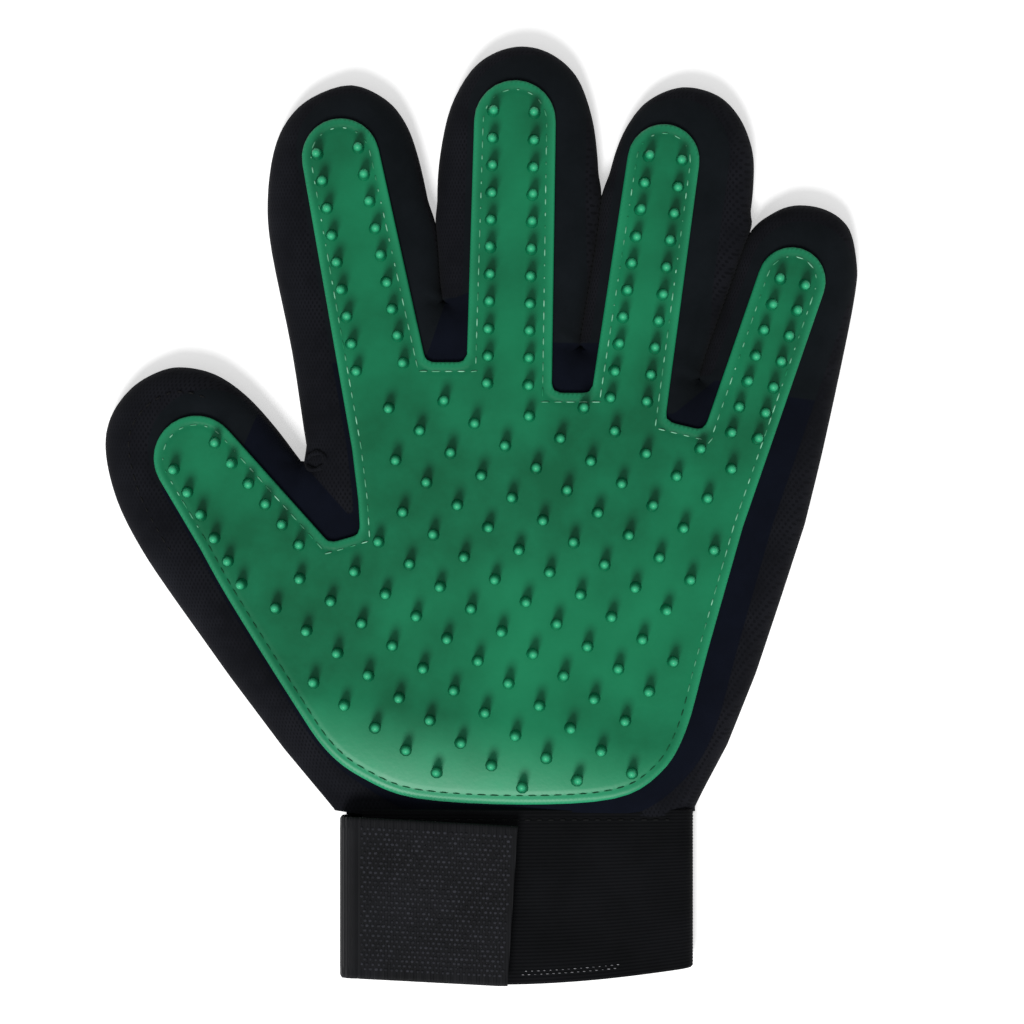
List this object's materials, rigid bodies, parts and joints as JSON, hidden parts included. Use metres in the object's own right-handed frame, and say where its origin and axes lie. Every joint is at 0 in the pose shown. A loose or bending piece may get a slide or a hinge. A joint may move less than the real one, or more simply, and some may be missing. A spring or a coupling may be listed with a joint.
{
  "type": "grooming glove",
  "caption": "Left-hand pet grooming glove with a soft rubber pad of domed tips on the palm and fingers, mesh back, elastic wrist band and hook-and-loop tab.",
  "frame": {"origin": "under the middle of the glove, on the surface that its back lies on", "axes": "+X towards the little finger, +Y towards the fingertips, +Z out of the palm"},
  "size_m": [0.1847, 0.23, 0.017],
  "materials": {
    "palm_fabric": "smooth dark navy knitted polyester",
    "mesh_fabric": "fine black stretch mesh",
    "rubber": "satin moulded green rubber",
    "elastic": "ribbed black elastic webbing",
    "loop_pile": "matt black loop pile",
    "hook_tape": "woven charcoal tape",
    "hooks": "field of fine moulded hooks",
    "thread": "pale green sewing thread",
    "dark_thread": "black sewing thread"
  },
  "bodies": {
    "palm": {"palm_face": "palm_fabric", "palm_back": "mesh_fabric", "palm_gussets": "mesh_fabric", "palm_pad": "rubber", "knuckle_fold_sleeve": "palm_fabric", "knuckle_fold_pad": "rubber", "wrist_fold_sleeve": "palm_fabric", "wrist_fold_pad": "rubber", "thumb_fold_sleeve": "palm_fabric", "thumb_fold_pad": "rubber"},
    "knuckles": {"knuckle_face": "palm_fabric", "knuckle_back": "mesh_fabric", "knuckle_gussets": "mesh_fabric", "knuckle_pad": "rubber", "index_fold_sleeve": "palm_fabric", "index_fold_pad": "rubber", "middle_fold_sleeve": "palm_fabric", "middle_fold_pad": "rubber", "ring_fold_sleeve": "palm_fabric", "ring_fold_pad": "rubber", "little_fold_sleeve": "palm_fabric", "little_fold_pad": "rubber"},
    "index": {"index_face": "palm_fabric", "index_back": "mesh_fabric", "index_gusset": "mesh_fabric", "index_pad": "rubber"},
    "middle": {"middle_face": "palm_fabric", "middle_back": "mesh_fabric", "middle_gusset": "mesh_fabric", "middle_pad": "rubber"},
    "ring": {"ring_face": "palm_fabric", "ring_back": "mesh_fabric", "ring_gusset": "mesh_fabric", "ring_pad": "rubber"},
    "little": {"little_face": "palm_fabric", "little_back": "mesh_fabric", "little_gusset": "mesh_fabric", "little_pad": "rubber"},
    "thumb": {"thumb_face": "palm_fabric", "thumb_back": "mesh_fabric", "thumb_gusset": "mesh_fabric", "thumb_pad": "rubber"},
    "cuff": {"elastic_band": "elastic", "loop_patch": "loop_pile", "strap_root": "hook_tape"},
    "tab": {"tab_tape": "hook_tape", "tab_hooks": "hooks"}
  },
  "joints": [
    {"name": "knuckle_fold", "type": "hinge", "parent": "palm", "child": "knuckles", "pos_m": [0.0189, 0.0101, 0.0105], "axis": [0.9823, -0.1874, 0], "range_deg": [0, 75], "deforming": ["knuckle_fold_sleeve", "knuckle_fold_pad"]},
    {"name": "index_fold", "type": "hinge", "parent": "knuckles", "child": "index", "pos_m": [-0.031, 0.06, 0.0105], "axis": [0.9925, 0.1219, 0], "range_deg": [0, 80], "deforming": ["index_fold_sleeve", "index_fold_pad"]},
    {"name": "middle_fold", "type": "hinge", "parent": "knuckles", "child": "middle", "pos_m": [0.009, 0.0625, 0.0105], "axis": [1, 0, 0], "range_deg": [0, 80], "deforming": ["middle_fold_sleeve", "middle_fold_pad"]},
    {"name": "ring_fold", "type": "hinge", "parent": "knuckles", "child": "ring", "pos_m": [0.0425, 0.0555, 0.0105], "axis": [0.9976, -0.0698, 0], "range_deg": [0, 80], "deforming": ["ring_fold_sleeve", "ring_fold_pad"]},
    {"name": "little_fold", "type": "hinge", "parent": "knuckles", "child": "little", "pos_m": [0.0705, 0.04, 0.0105], "axis": [0.9962, -0.0872, 0], "range_deg": [0, 80], "deforming": ["little_fold_sleeve", "little_fold_pad"]},
    {"name": "thumb_fold", "type": "hinge", "parent": "palm", "child": "thumb", "pos_m": [-0.068, 0.0055, 0.0105], "axis": [0.7997, 0.6004, 0], "range_deg": [0, 75], "deforming": ["thumb_fold_sleeve", "thumb_fold_pad"]},
    {"name": "wrist_fold", "type": "hinge", "parent": "palm", "child": "cuff", "pos_m": [0.0085, -0.067, 0.0055], "axis": [-1, 0, 0], "range_deg": [-30, 30], "deforming": ["wrist_fold_sleeve", "wrist_fold_pad"]},
    {"name": "tab_peel", "type": "hinge", "parent": "cuff", "child": "tab", "pos_m": [-0.0306, -0.0945, 0.0145], "axis": [0, -1, 0], "range_deg": [0, 165]}
  ]
}
